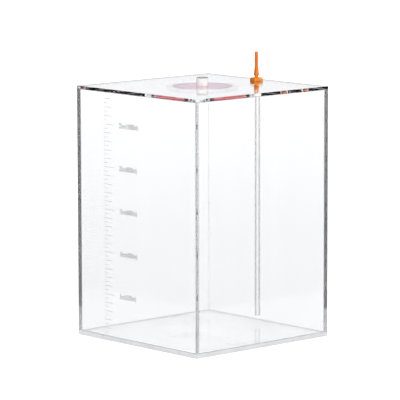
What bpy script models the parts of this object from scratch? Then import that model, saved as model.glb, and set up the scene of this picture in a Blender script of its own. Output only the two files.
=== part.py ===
"""Clear acrylic reservoir tank with a round lift-off cover, a hose connector and a dip tube.

Metres, +Z up. The origin is the middle of the base plate's underside.
The wall with the level scale faces -Y.
"""

import math

import bmesh
import bpy

# Sheets of the box
TANK_WIDTH = 0.208
TANK_DEPTH = 0.208
TANK_HEIGHT = 0.296
WALL_THICKNESS = 0.004
BASE_THICKNESS = 0.005
TOP_THICKNESS = 0.004

# Filler hole, its cover and the ring that the cover rests on
FILLER_X = 0.0
FILLER_Y = 0.0
FILLER_DIAMETER = 0.070
COVER_CLEARANCE = 0.0005
COVER_BEVEL = 0.0003
LEDGE_WIDTH_INSIDE = 0.006
LEDGE_WIDTH_OUTSIDE = 0.007
LEDGE_THICKNESS = 0.004
KNOB_DIAMETER = 0.0138
KNOB_HEIGHT = 0.010
KNOB_BEVEL = 0.0005

# Hose connector, from its spigot's end down to the stub that holds the dip tube
CONNECTOR_X = 0.0
CONNECTOR_EDGE_DISTANCE = 0.017
SPIGOT_DIAMETER = 0.0040
SPIGOT_LENGTH = 0.0172
TAPER_LENGTH = 0.0091
BARB_DIAMETER = 0.0062
BARB_LAND = 0.0010
BARB_SHOULDER = 0.0014
NECK_DIAMETER = 0.0045
NECK_LENGTH = 0.0020
FLANGE_ACROSS_FLATS = 0.0135
FLANGE_HEIGHT = 0.0035
HEX_BEVEL = 0.0003
SHANK_DIAMETER = 0.0098
SHANK_PROTRUSION = 0.0015
SHANK_CLEARANCE = 0.00035
CONNECTOR_BORE = 0.0020
NUT_HEIGHT = 0.0040
WASHER_THICKNESS = 0.0010
WASHER_WIDTH = 0.0024
STUB_LENGTH = 0.0035
STUB_CLEARANCE = 0.0003

# Dip tube
TUBE_DIAMETER = 0.006
TUBE_WALL = 0.001
TUBE_FLOOR_DISTANCE = 0.0085

# Gap between pieces that touch
GAP = 0.0003

LARGE_ROUND = 96
SMALL_ROUND = 32

# Places worked out from the sizes above
TOP_UNDERSIDE = TANK_HEIGHT - TOP_THICKNESS
WALL_BOTTOM = BASE_THICKNESS + GAP
WALL_TOP = TOP_UNDERSIDE - GAP
CONNECTOR_Y = TANK_DEPTH / 2 - CONNECTOR_EDGE_DISTANCE
WASHER_TOP = TOP_UNDERSIDE - GAP
NUT_TOP = WASHER_TOP - WASHER_THICKNESS - GAP
SHANK_END = NUT_TOP - NUT_HEIGHT - SHANK_PROTRUSION
FLANGE_BOTTOM = TANK_HEIGHT + GAP
TUBE_TOP = SHANK_END - GAP
TUBE_BOTTOM = BASE_THICKNESS + TUBE_FLOOR_DISTANCE
TUBE_BORE = TUBE_DIAMETER - 2 * TUBE_WALL
SHANK_HOLE = SHANK_DIAMETER + 2 * SHANK_CLEARANCE


def clear_scene():
    for found in list(bpy.data.objects):
        bpy.data.objects.remove(found, do_unlink=True)


def make_material(name, color, roughness, alpha=1.0, transmission=0.0):
    material = bpy.data.materials.new(name)
    material.use_nodes = True
    shader = material.node_tree.nodes["Principled BSDF"]
    shader.inputs["Base Color"].default_value = (*color, 1.0)
    shader.inputs["Roughness"].default_value = roughness
    shader.inputs["Metallic"].default_value = 0.0
    shader.inputs["Alpha"].default_value = alpha
    shader.inputs["Transmission Weight"].default_value = transmission
    shader.inputs["IOR"].default_value = 1.49
    material.diffuse_color = (*color, max(alpha, 0.3))
    return material


def clear_acrylic(name):
    return make_material(name, (0.96, 0.97, 0.98), 0.03, 0.25, 1.0)


def lilac_acrylic(name):
    return make_material(name, (0.85, 0.70, 0.82), 0.05, 0.45, 1.0)


def orange_plastic(name):
    return make_material(name, (0.90, 0.30, 0.05), 0.30)


def soft_silicone(name):
    return make_material(name, (0.85, 0.85, 0.82), 0.60, 0.70)


def add_object(name, mesh, material, location=(0.0, 0.0, 0.0)):
    made = bpy.data.objects.new(name, mesh)
    made.location = location
    bpy.context.scene.collection.objects.link(made)
    if material is not None:
        mesh.materials.append(material)
    return made


def box_mesh(name, size):
    """A box of this size, its middle at the origin."""
    mesh = bpy.data.meshes.new(name)
    shape = bmesh.new()
    bmesh.ops.create_cube(shape, size=1.0)
    bmesh.ops.scale(shape, vec=size, verts=shape.verts)
    shape.to_mesh(mesh)
    shape.free()
    return mesh


def turned_mesh(name, profile, segments):
    """A closed profile of (radius, height) points, counterclockwise seen from -Y, turned about Z."""
    mesh = bpy.data.meshes.new(name)
    shape = bmesh.new()
    corners = [shape.verts.new((radius, 0.0, height)) for radius, height in profile]
    edges = [shape.edges.new((corners[i], corners[(i + 1) % len(corners)])) for i in range(len(corners))]
    bmesh.ops.spin(
        shape,
        geom=corners + edges,
        axis=(0.0, 0.0, 1.0),
        cent=(0.0, 0.0, 0.0),
        angle=2 * math.pi,
        steps=segments,
        use_merge=True,
        use_duplicate=False,
    )
    bmesh.ops.remove_doubles(shape, verts=shape.verts, dist=1e-6)
    bmesh.ops.recalc_face_normals(shape, faces=shape.faces)
    shape.to_mesh(mesh)
    shape.free()
    shade_round(mesh)
    return mesh


def prism_mesh(name, radius, height, sides, start_angle=0.0):
    """A regular prism that stands on the origin, with a corner at start_angle."""
    mesh = bpy.data.meshes.new(name)
    shape = bmesh.new()
    ring = []
    for i in range(sides):
        angle = start_angle + 2 * math.pi * i / sides
        ring.append(shape.verts.new((radius * math.cos(angle), radius * math.sin(angle), 0.0)))
    bottom = shape.faces.new(ring)
    raised = bmesh.ops.extrude_face_region(shape, geom=[bottom])["geom"]
    top = [item for item in raised if isinstance(item, bmesh.types.BMVert)]
    bmesh.ops.translate(shape, vec=(0.0, 0.0, height), verts=top)
    bmesh.ops.recalc_face_normals(shape, faces=shape.faces)
    shape.to_mesh(mesh)
    shape.free()
    return mesh


def shade_round(mesh):
    mesh.shade_smooth()
    mesh.set_sharp_from_angle(angle=math.radians(35))


def add_cutter(name, mesh, location):
    cutter = add_object(name, mesh, None, location)
    cutter.hide_render = True
    cutter.display_type = "WIRE"
    return cutter


def cut_or_join(target, other, operation):
    change = target.modifiers.new(other.name, "BOOLEAN")
    change.operation = operation
    change.solver = "EXACT"
    change.object = other


def round_edges(target, width):
    bevel = target.modifiers.new("edge_bevel", "BEVEL")
    bevel.width = width
    bevel.segments = 1
    bevel.limit_method = "ANGLE"
    bevel.angle_limit = math.radians(40)


def hex_corner_radius(across_flats):
    return across_flats / math.sqrt(3)


def make_base_plate():
    mesh = box_mesh("base_plate", (TANK_WIDTH, TANK_DEPTH, BASE_THICKNESS))
    add_object("base_plate", mesh, clear_acrylic("base_sheet"), (0.0, 0.0, BASE_THICKNESS / 2))


def make_full_width_wall(name, side):
    """The front wall is on side -1 and the back wall on side 1."""
    mesh = box_mesh(name, (TANK_WIDTH, WALL_THICKNESS, WALL_TOP - WALL_BOTTOM))
    place = (0.0, side * (TANK_DEPTH - WALL_THICKNESS) / 2, (WALL_TOP + WALL_BOTTOM) / 2)
    add_object(name, mesh, clear_acrylic(name + "_sheet"), place)


def make_side_wall(name, side):
    """A wall that fits between the front and back walls, on side -1 or 1 along X."""
    inner_depth = TANK_DEPTH - 2 * WALL_THICKNESS - 2 * GAP
    mesh = box_mesh(name, (WALL_THICKNESS, inner_depth, WALL_TOP - WALL_BOTTOM))
    place = (side * (TANK_WIDTH - WALL_THICKNESS) / 2, 0.0, (WALL_TOP + WALL_BOTTOM) / 2)
    add_object(name, mesh, clear_acrylic(name + "_sheet"), place)


def make_top_plate():
    mesh = box_mesh("top_plate", (TANK_WIDTH, TANK_DEPTH, TOP_THICKNESS))
    middle = TOP_UNDERSIDE + TOP_THICKNESS / 2
    plate = add_object("top_plate", mesh, clear_acrylic("top_sheet"), (0.0, 0.0, middle))
    below = TOP_UNDERSIDE - TOP_THICKNESS
    filler = prism_mesh("filler_cutter", FILLER_DIAMETER / 2, 3 * TOP_THICKNESS, LARGE_ROUND)
    cut_or_join(plate, add_cutter("filler_cutter", filler, (FILLER_X, FILLER_Y, below)), "DIFFERENCE")
    shank = prism_mesh("shank_cutter", SHANK_HOLE / 2, 3 * TOP_THICKNESS, SMALL_ROUND)
    cut_or_join(plate, add_cutter("shank_cutter", shank, (CONNECTOR_X, CONNECTOR_Y, below)), "DIFFERENCE")


def make_cover_ledge():
    inner = FILLER_DIAMETER / 2 - LEDGE_WIDTH_INSIDE
    outer = FILLER_DIAMETER / 2 + LEDGE_WIDTH_OUTSIDE
    profile = [(inner, -LEDGE_THICKNESS), (outer, -LEDGE_THICKNESS), (outer, 0.0), (inner, 0.0)]
    mesh = turned_mesh("cover_ledge", profile, LARGE_ROUND)
    place = (FILLER_X, FILLER_Y, TOP_UNDERSIDE - GAP)
    add_object("cover_ledge", mesh, clear_acrylic("ledge_sheet"), place)


def make_cover_disc():
    """The disc lies on the ledge, so its top is flush with the top plate."""
    mesh = prism_mesh("cover_disc", FILLER_DIAMETER / 2 - COVER_CLEARANCE, TOP_THICKNESS, LARGE_ROUND)
    place = (FILLER_X, FILLER_Y, TOP_UNDERSIDE)
    disc = add_object("cover_disc", mesh, lilac_acrylic("cover_sheet"), place)
    round_edges(disc, COVER_BEVEL)
    shade_round(mesh)


def make_cover_knob():
    mesh = prism_mesh("cover_knob", KNOB_DIAMETER / 2, KNOB_HEIGHT, SMALL_ROUND)
    place = (FILLER_X, FILLER_Y, TANK_HEIGHT + GAP)
    knob = add_object("cover_knob", mesh, clear_acrylic("knob_rod"), place)
    round_edges(knob, KNOB_BEVEL)
    shade_round(mesh)


def connector_profile():
    """Half outline of the turned part of the connector, from its lower stub's end up to the spigot's end.

    Heights are measured from the flange's underside.
    """
    neck = NECK_DIAMETER / 2
    barb = BARB_DIAMETER / 2
    spigot = SPIGOT_DIAMETER / 2
    shank = SHANK_DIAMETER / 2
    stub = TUBE_BORE / 2 - STUB_CLEARANCE
    bore = CONNECTOR_BORE / 2
    shank_end = SHANK_END - FLANGE_BOTTOM
    stub_end = shank_end - STUB_LENGTH
    inside_flange = FLANGE_HEIGHT / 2
    neck_top = FLANGE_HEIGHT + NECK_LENGTH
    land_bottom = neck_top + BARB_SHOULDER
    land_top = land_bottom + BARB_LAND
    taper_top = land_top + TAPER_LENGTH
    spigot_top = taper_top + SPIGOT_LENGTH
    outside = [
        (stub, stub_end),
        (stub, shank_end),
        (shank, shank_end),
        (shank, inside_flange),
        (neck, inside_flange),
        (neck, neck_top),
        (barb, land_bottom),
        (barb, land_top),
        (spigot, taper_top),
        (spigot, spigot_top),
    ]
    return [(bore, stub_end)] + outside + [(bore, spigot_top)]


def hex_ring(name, across_flats, height, hole_diameter, location):
    """A hexagon with corners on +X and -X, bevelled, with a round hole cut through it."""
    mesh = prism_mesh(name, hex_corner_radius(across_flats), height, 6)
    ring = add_object(name, mesh, None, location)
    round_edges(ring, HEX_BEVEL)
    hole = prism_mesh(name + "_hole", hole_diameter / 2, 3 * height, SMALL_ROUND)
    place = (location[0], location[1], location[2] - height)
    cut_or_join(ring, add_cutter(name + "_hole", hole, place), "DIFFERENCE")
    return ring


def make_connector_body():
    mesh = turned_mesh("connector_body", connector_profile(), SMALL_ROUND)
    place = (CONNECTOR_X, CONNECTOR_Y, FLANGE_BOTTOM)
    body = add_object("connector_body", mesh, orange_plastic("connector_plastic"), place)
    middle_bore = (CONNECTOR_BORE + NECK_DIAMETER) / 2
    flange = hex_ring("flange_shape", FLANGE_ACROSS_FLATS, FLANGE_HEIGHT, middle_bore, place)
    flange.hide_render = True
    flange.display_type = "WIRE"
    cut_or_join(body, flange, "UNION")


def make_connector_washer():
    inner = SHANK_HOLE / 2
    outer = inner + WASHER_WIDTH
    profile = [(inner, -WASHER_THICKNESS), (outer, -WASHER_THICKNESS), (outer, 0.0), (inner, 0.0)]
    mesh = turned_mesh("connector_washer", profile, SMALL_ROUND)
    place = (CONNECTOR_X, CONNECTOR_Y, WASHER_TOP)
    add_object("connector_washer", mesh, soft_silicone("washer_silicone"), place)


def make_connector_nut():
    place = (CONNECTOR_X, CONNECTOR_Y, NUT_TOP - NUT_HEIGHT)
    nut = hex_ring("connector_nut", FLANGE_ACROSS_FLATS, NUT_HEIGHT, SHANK_HOLE, place)
    nut.data.materials.append(orange_plastic("nut_plastic"))


def make_dip_tube():
    outer = TUBE_DIAMETER / 2
    inner = TUBE_BORE / 2
    length = TUBE_TOP - TUBE_BOTTOM
    profile = [(inner, 0.0), (outer, 0.0), (outer, length), (inner, length)]
    mesh = turned_mesh("dip_tube", profile, SMALL_ROUND)
    place = (CONNECTOR_X, CONNECTOR_Y, TUBE_BOTTOM)
    add_object("dip_tube", mesh, clear_acrylic("tube_acrylic"), place)


clear_scene()
make_base_plate()
make_full_width_wall("wall_front", -1)
make_full_width_wall("wall_back", 1)
make_side_wall("wall_left", -1)
make_side_wall("wall_right", 1)
make_top_plate()
make_cover_ledge()
make_cover_disc()
make_cover_knob()
make_connector_body()
make_connector_washer()
make_connector_nut()
make_dip_tube()
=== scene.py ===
import math

import bmesh
import bpy
from mathutils import Matrix, Vector, geometry


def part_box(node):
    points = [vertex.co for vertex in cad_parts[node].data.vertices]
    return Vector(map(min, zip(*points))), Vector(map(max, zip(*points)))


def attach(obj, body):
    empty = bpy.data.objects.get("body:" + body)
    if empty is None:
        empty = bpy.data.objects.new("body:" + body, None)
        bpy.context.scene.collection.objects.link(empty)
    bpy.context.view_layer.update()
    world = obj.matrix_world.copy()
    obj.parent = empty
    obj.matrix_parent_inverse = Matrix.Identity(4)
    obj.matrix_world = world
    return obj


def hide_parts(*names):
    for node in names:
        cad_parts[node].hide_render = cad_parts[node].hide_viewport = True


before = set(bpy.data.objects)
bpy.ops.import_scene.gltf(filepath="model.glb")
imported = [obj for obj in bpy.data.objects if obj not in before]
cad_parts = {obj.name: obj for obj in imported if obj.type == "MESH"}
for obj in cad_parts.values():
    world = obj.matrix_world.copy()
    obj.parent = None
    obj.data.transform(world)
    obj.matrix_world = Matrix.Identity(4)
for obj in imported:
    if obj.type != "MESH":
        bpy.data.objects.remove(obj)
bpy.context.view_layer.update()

# ---------------------------------------------------------------------------------------
# Camera: a long lens a few metres away, turned towards the corner between the scale wall
# and the right-hand wall and looking slightly down on the lid.
CAMERA_AZIMUTH = math.radians(47.69)
CAMERA_ELEVATION = math.radians(8.18)
CAMERA_ROLL = math.radians(-0.116)
CAMERA_DISTANCE = 3.669
CAMERA_AIM = Vector((-0.0020, -0.0022, 0.1612))
CAMERA_LENS = 281.1
CAMERA_SENSOR = 36.0

scene = bpy.context.scene


def studio_direction(azimuth, elevation):
    """Unit vector from the tank towards a place in the studio. Azimuth 0 is -Y and turns towards +X."""
    flat = math.cos(elevation)
    return Vector((math.sin(azimuth) * flat, -math.cos(azimuth) * flat, math.sin(elevation)))


camera_data = bpy.data.cameras.new("studio_camera")
camera_data.lens = CAMERA_LENS
camera_data.sensor_width = CAMERA_SENSOR
camera = bpy.data.objects.new("studio_camera", camera_data)
scene.collection.objects.link(camera)
towards_camera = studio_direction(CAMERA_AZIMUTH, CAMERA_ELEVATION)
camera.location = CAMERA_AIM + towards_camera * CAMERA_DISTANCE
camera_turn = (-towards_camera).to_track_quat("-Z", "Y").to_matrix()
camera.rotation_euler = (camera_turn @ Matrix.Rotation(CAMERA_ROLL, 3, "Z")).to_euler()
bpy.context.scene.camera = camera

# ---------------------------------------------------------------------------------------
# Studio surround: a bright seamless sweep with a dimmer strip above the horizon, and a black
# flag on either side that gives the clear sheets their dark edges. Polished faces mirror a
# darker room on the camera's side.
SWEEP_STRENGTH = 1.55
SWEEP_STEPS = (
    (-0.22, (0.690, 0.690, 0.703)),
    (-0.15, (0.748, 0.748, 0.760)),
    (-0.09, (0.870, 0.870, 0.876)),
    (0.00, (0.920, 0.920, 0.925)),
    (0.06, (0.550, 0.550, 0.562)),
    (0.22, (0.550, 0.550, 0.562)),
    (0.34, (0.800, 0.800, 0.800)),
)
FLAG_COLOR = (0.002, 0.0015, 0.002)
FLAG_START = 0.84
FLAG_FULL = 0.92
FLAG_TOP_LOW = 0.45
FLAG_TOP_HIGH = 0.65
FRONT_GLOSS = 0.12
FRONT_START = 0.25
FRONT_FULL = 0.60
LIGHT_BOUNCES = 72


def add_node(tree, kind, values=None, **settings):
    """A new shader node with these settings, and these values on its input sockets."""
    made = tree.nodes.new("ShaderNode" + kind)
    for key, value in settings.items():
        setattr(made, key, value)
    for key, value in (values or {}).items():
        made.inputs[key].default_value = value
    return made


def calculate(tree, operation, *terms):
    """The output of a Math node. A term is a number or another node's output."""
    made = add_node(tree, "Math", operation=operation)
    for place, term in enumerate(terms):
        if isinstance(term, (int, float)):
            made.inputs[place].default_value = term
        else:
            tree.links.new(term, made.inputs[place])
    return made.outputs[0]


def ramp_between(tree, source, low, high, to_low=0.0, to_high=1.0):
    """source mapped smoothly from low..high to to_low..to_high."""
    values = {"From Min": low, "From Max": high, "To Min": to_low, "To Max": to_high}
    made = add_node(tree, "MapRange", values, interpolation_type="SMOOTHSTEP")
    tree.links.new(source, made.inputs["Value"])
    return made.outputs["Result"]


def blend_colors(tree, factor, first, second):
    """A colour between first and second. Each is a colour or another node's output."""
    made = add_node(tree, "Mix", data_type="RGBA")
    tree.links.new(factor, made.inputs["Factor"])
    for label, color in (("A", first), ("B", second)):
        socket = [s for s in made.inputs if s.name == label and s.type == "RGBA"][0]
        if isinstance(color, tuple):
            socket.default_value = (*color, 1.0)
        else:
            tree.links.new(color, socket)
    return [s for s in made.outputs if s.type == "RGBA"][0]


world = bpy.data.worlds.new("studio")
scene.world = world
world.use_nodes = True
studio = world.node_tree
studio.nodes.clear()
direction = add_node(studio, "TexCoord").outputs["Generated"]
upward = add_node(studio, "SeparateXYZ")
studio.links.new(direction, upward.inputs[0])
height_share = calculate(studio, "MULTIPLY_ADD", upward.outputs["Z"], 0.5, 0.5)
sweep = add_node(studio, "ValToRGB")
studio.links.new(height_share, sweep.inputs[0])
steps = sweep.color_ramp.elements
while len(steps) < len(SWEEP_STEPS):
    steps.new(0.5)
for step, (height, color) in zip(steps, SWEEP_STEPS):
    step.position = height * 0.5 + 0.5
    step.color = (*color, 1.0)
studio_right = studio_direction(CAMERA_AZIMUTH + math.pi / 2, 0.0)
across = add_node(studio, "VectorMath", {1: studio_right}, operation="DOT_PRODUCT")
studio.links.new(direction, across.inputs[0])
sideways = calculate(studio, "ABSOLUTE", across.outputs["Value"])
beside = ramp_between(studio, sideways, FLAG_START, FLAG_FULL)
below_top = ramp_between(studio, upward.outputs["Z"], FLAG_TOP_LOW, FLAG_TOP_HIGH, 1.0, 0.0)
path = add_node(studio, "LightPath").outputs
hidden = calculate(studio, "SUBTRACT", 1.0, path["Is Camera Ray"])
flag_share = calculate(studio, "MULTIPLY", calculate(studio, "MULTIPLY", beside, below_top), hidden)
studio_front = studio_direction(CAMERA_AZIMUTH, 0.0)
towards_front = add_node(studio, "VectorMath", {1: studio_front}, operation="DOT_PRODUCT")
studio.links.new(direction, towards_front.inputs[0])
in_front = ramp_between(studio, towards_front.outputs["Value"], FRONT_START, FRONT_FULL)
reflected = calculate(studio, "SUBTRACT", path["Is Glossy Ray"], path["Is Transmission Ray"])
in_gloss = calculate(studio, "MULTIPLY", in_front, calculate(studio, "MAXIMUM", reflected, 0.0))
dimming = SWEEP_STRENGTH * (FRONT_GLOSS - 1.0)
strength = calculate(studio, "MULTIPLY_ADD", in_gloss, dimming, SWEEP_STRENGTH)
surround = add_node(studio, "Background")
studio.links.new(strength, surround.inputs["Strength"])
flagged = blend_colors(studio, flag_share, sweep.outputs["Color"], FLAG_COLOR)
studio.links.new(flagged, surround.inputs["Color"])
studio.links.new(surround.outputs[0], add_node(studio, "OutputWorld").inputs["Surface"])

scene.view_settings.view_transform = "Standard"
for kind in ("max_bounces", "glossy_bounces", "transmission_bounces", "transparent_max_bounces"):
    setattr(scene.cycles, kind, LIGHT_BOUNCES)

# ---------------------------------------------------------------------------------------
# Studio floor and lamps: a wide matt white table top, a white pad just under the tank, a
# broad fill lamp on the right, a narrow key lamp aimed at the connector, and a black card
# that shades the connector's left side.
FLOOR_HALF_WIDTH = 20.0
FLOOR_DROP = 0.0002
FLOOR_COLOR = (0.95, 0.95, 0.95)
FLOOR_GLOW = 0.30
PAINT_ROUGHNESS = 0.9
PAD_INSET = 0.0015
PAD_GLOW = 0.66
FILL_TURN = 0.52
FILL_ELEVATION = 0.50
FILL_DISTANCE = 1.3
FILL_SIZE = (0.5, 0.8)
FILL_POWER = 1.0
KEY_TURN = 0.45
KEY_ELEVATION = 0.30
KEY_DISTANCE = 0.7
KEY_SIZE = (0.12, 0.12)
KEY_POWER = 0.12
KEY_SPREAD = math.radians(30)
CARD_DISTANCE = 0.030
CARD_LIFT = 0.003
CARD_HALF_WIDTH = 0.045
CARD_HEIGHT = 0.055
CARD_COLOR = (0.01, 0.01, 0.01)


def new_material(name, values):
    """A material whose Principled shader has these constants. Returns it with its tree and shader."""
    made = bpy.data.materials.new(name)
    made.use_nodes = True
    shader = made.node_tree.nodes["Principled BSDF"]
    for key, value in values.items():
        shader.inputs[key].default_value = value
    return made, made.node_tree, shader


def stage_sheet(name, corners, values):
    """A flat four-cornered piece of the set. values are the constants of its paint."""
    shape = bpy.data.meshes.new(name)
    shape.from_pydata(corners, [], [(0, 1, 2, 3)])
    shape.materials.append(new_material(name + "_paint", values)[0])
    made = bpy.data.objects.new(name, shape)
    scene.collection.objects.link(made)
    return made


def rectangle(half_x, half_y):
    return [(-half_x, -half_y), (half_x, -half_y), (half_x, half_y), (-half_x, half_y)]


def lay_white_sheet(name, half_x, half_y, height, glow):
    """A level piece of the set in matt white, lit a little from within."""
    values = {
        "Base Color": (*FLOOR_COLOR, 1.0),
        "Roughness": PAINT_ROUGHNESS,
        "Specular IOR Level": 0.0,
        "Emission Color": (1.0, 1.0, 1.0, 1.0),
        "Emission Strength": glow,
    }
    return stage_sheet(name, [(x, y, height) for x, y in rectangle(half_x, half_y)], values)


studio_floor = lay_white_sheet("studio_floor", FLOOR_HALF_WIDTH, FLOOR_HALF_WIDTH, -FLOOR_DROP, FLOOR_GLOW)
studio_floor.visible_transmission = False
studio_floor.visible_glossy = False
pad_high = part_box("base_plate")[1]
lay_white_sheet("white_pad", pad_high.x - PAD_INSET, pad_high.y - PAD_INSET, -FLOOR_DROP / 2, PAD_GLOW)

aim_low, aim_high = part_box("connector_body")
lit_point = Vector((aim_low.x + aim_high.x, aim_low.y + aim_high.y, 2 * aim_high.z)) / 2


def add_soft_box(name, aim, turn, elevation, distance, size, power, spread=math.pi):
    """A rectangular lamp, turned towards the right of the camera, that shines at aim."""
    data = bpy.data.lights.new(name, "AREA")
    data.shape = "RECTANGLE"
    data.size, data.size_y = size
    data.energy = power
    data.spread = spread
    lamp = bpy.data.objects.new(name, data)
    from_aim = studio_direction(CAMERA_AZIMUTH + turn, elevation)
    lamp.location = aim + from_aim * distance
    lamp.rotation_euler = (-from_aim).to_track_quat("-Z", "Y").to_euler()
    lamp.visible_transmission = False
    lamp.visible_glossy = False
    scene.collection.objects.link(lamp)


add_soft_box("fill_soft_box", CAMERA_AIM, FILL_TURN, FILL_ELEVATION, FILL_DISTANCE, FILL_SIZE, FILL_POWER)
add_soft_box(
    "connector_key", lit_point, KEY_TURN, KEY_ELEVATION, KEY_DISTANCE, KEY_SIZE, KEY_POWER, KEY_SPREAD
)

card_base = lit_point - studio_right * CARD_DISTANCE
card_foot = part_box("top_plate")[1].z + CARD_LIFT
card_across = studio_front * CARD_HALF_WIDTH
card_corners = []
for side, height in ((-1, 0.0), (1, 0.0), (1, CARD_HEIGHT), (-1, CARD_HEIGHT)):
    corner = card_base + card_across * side
    card_corners.append((corner.x, corner.y, card_foot + height))
card = stage_sheet("black_card", card_corners, {"Base Color": (*CARD_COLOR, 1.0), "Roughness": 1.0})
card.visible_camera = False
card.visible_glossy = False
card.visible_transmission = False

# ---------------------------------------------------------------------------------------
# Clear box: five polished cast acrylic sheets, solvent welded edge to edge. The front and
# back walls run the full width, the side walls stand between them, and all four stand on
# the base sheet, whose own edges are left as the saw cut them.
ACRYLIC_IOR = 1.49
SHEET_TINT = (0.995, 0.997, 1.0)
SHEET_ROUGHNESS = 0.030
SHEET_FILM = 0.0040
SHEET_DEPTH_COLOR = (0.30, 0.36, 0.36)
SHEET_DEPTH_DENSITY = 1.1
FLOOR_ROUGHNESS = 0.05
FLOOR_FILM = 0.0015
FILM_TINT = (0.25, 0.25, 0.26)
FILM_ROUGHNESS = 0.12
SHEET_SMUDGES = 16.0
WELD_HAZE = 0.01
WELD_BUBBLES = 0.08
LAMP_PASS = (0.96, 0.96, 0.96)
SAWN_EDGE_COLOR_AND_GLOW = (0.71, 0.71, 0.72)
SAWN_EDGE_DARK = (0.63, 0.63, 0.64)
# Strength of the painted glow on the inside of sawn edges.
SAWN_GLOW = 0.45
SEAM_GREY = (0.40, 0.40, 0.41)
SAW_RELIEF = 0.0001
EDGE_CHAMFER = 0.00010
CRISP_ANGLE = math.radians(30)
CORNER_ANGLE = math.radians(60)
FLAT = 1e-5
SAME_SPOT = 1e-7

base_low, base_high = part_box("base_plate")
top_low, top_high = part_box("top_plate")
front_low, front_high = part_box("wall_front")
SHEET = front_high.y - front_low.y
OUTER_X = base_high.x
OUTER_Y = base_high.y
INNER_X = OUTER_X - SHEET
INNER_Y = OUTER_Y - SHEET
WALL_FOOT = base_high.z
WALL_HEAD = top_low.z


def start_group(name, inputs, outputs):
    """A shader node group. inputs are (name, value) pairs and outputs are (name, socket kind) pairs."""
    tree = bpy.data.node_groups.new(name, "ShaderNodeTree")
    for label, value in inputs:
        kind = "NodeSocketColor" if isinstance(value, tuple) else "NodeSocketFloat"
        socket = tree.interface.new_socket(label, in_out="INPUT", socket_type=kind)
        socket.default_value = (*value, 1.0) if isinstance(value, tuple) else value
    for label, kind in outputs:
        tree.interface.new_socket(label, in_out="OUTPUT", socket_type="NodeSocket" + kind)
    return tree, tree.nodes.new("NodeGroupInput").outputs, tree.nodes.new("NodeGroupOutput").inputs


def stretched_noise(tree, stretch, scale, detail=2.0, roughness=0.5):
    """Noise over the piece's own coordinates, which stretch squeezes along each axis."""
    place = add_node(tree, "Mapping", {"Scale": stretch})
    tree.links.new(add_node(tree, "TexCoord").outputs["Object"], place.inputs["Vector"])
    made = add_node(tree, "TexNoise", {"Detail": detail, "Roughness": roughness})
    tree.links.new(place.outputs[0], made.inputs["Vector"])
    if isinstance(scale, (int, float)):
        made.inputs["Scale"].default_value = scale
    else:
        tree.links.new(scale, made.inputs["Scale"])
    return made.outputs["Fac"]


def make_handling_marks():
    """Smudges and hairline wiping scratches on polished acrylic."""
    inputs = [("Smudge Scale", SHEET_SMUDGES), ("Roughness", SHEET_ROUGHNESS), ("Film", SHEET_FILM)]
    tree, given, result = start_group("handling_marks", inputs, [("Roughness", "Float"), ("Film", "Float")])
    cloudy = stretched_noise(tree, (1.0, 1.0, 1.0), given["Smudge Scale"], 4.0, 0.6)
    smudge = ramp_between(tree, cloudy, 0.42, 0.72)
    along = stretched_noise(tree, (1.0, 1.0, 0.02), 900.0)
    around = stretched_noise(tree, (0.03, 0.03, 1.0), 900.0)
    hairlines = ramp_between(tree, calculate(tree, "MAXIMUM", along, around), 0.70, 0.80)
    wear = calculate(tree, "MULTIPLY_ADD", hairlines, 0.7, smudge)
    rough = calculate(tree, "MULTIPLY_ADD", wear, given["Roughness"], given["Roughness"])
    tree.links.new(rough, result["Roughness"])
    thin_film = calculate(tree, "MULTIPLY_ADD", wear, 0.8, 0.6)
    tree.links.new(calculate(tree, "MULTIPLY", thin_film, given["Film"]), result["Film"])
    return tree


def make_saw_marks():
    """Fine tooth marks that a panel saw leaves across a sheet's edge."""
    inputs = [("Light", SAWN_EDGE_COLOR_AND_GLOW), ("Dark", SAWN_EDGE_DARK), ("Tooth Pitch", 1400.0)]
    outputs = [("Color", "Color"), ("Roughness", "Float"), ("Height", "Float")]
    tree, given, result = start_group("saw_marks", inputs, outputs)
    teeth = stretched_noise(tree, (1.0, 1.0, 0.05), given["Tooth Pitch"], 3.0, 0.7)
    drift = stretched_noise(tree, (1.0, 1.0, 1.0), 30.0, 2.0)
    shade = calculate(tree, "MULTIPLY_ADD", drift, 0.4, calculate(tree, "MULTIPLY", teeth, 0.6))
    lightness = ramp_between(tree, shade, 0.35, 0.65)
    tree.links.new(blend_colors(tree, lightness, given["Dark"], given["Light"]), result["Color"])
    tree.links.new(ramp_between(tree, teeth, 0.2, 0.8, 0.45, 0.7), result["Roughness"])
    tree.links.new(teeth, result["Height"])
    return tree


def make_cement_joint():
    """Fine bubbles and uneven haze that solvent cement leaves in a joint."""
    inputs = [("Haze", WELD_HAZE), ("Bubbles", WELD_BUBBLES), ("Bubble Scale", 700.0)]
    tree, given, result = start_group("cement_joint", inputs, [("Cover", "Float"), ("Roughness", "Float")])
    place = add_node(tree, "TexCoord").outputs["Object"]
    cells = add_node(tree, "TexVoronoi")
    tree.links.new(place, cells.inputs["Vector"])
    tree.links.new(given["Bubble Scale"], cells.inputs["Scale"])
    bubble = ramp_between(tree, cells.outputs["Distance"], 0.16, 0.24, 1.0, 0.0)
    patches = ramp_between(tree, stretched_noise(tree, (1.0, 1.0, 1.0), 45.0, 3.0), 0.45, 0.7, 0.2, 1.0)
    bubbly = calculate(tree, "MULTIPLY", calculate(tree, "MULTIPLY", bubble, patches), given["Bubbles"])
    streaks = ramp_between(tree, stretched_noise(tree, (1.0, 1.0, 1.0), 120.0, 3.0), 0.3, 0.7, 0.6, 1.4)
    hazy = calculate(tree, "MULTIPLY", streaks, given["Haze"])
    tree.links.new(calculate(tree, "ADD", bubbly, hazy), result["Cover"])
    tree.links.new(ramp_between(tree, patches, 0.2, 1.0, 0.35, 0.6), result["Roughness"])
    return tree


handling_marks = make_handling_marks()
saw_marks = make_saw_marks()
cement_joint = make_cement_joint()


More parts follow.
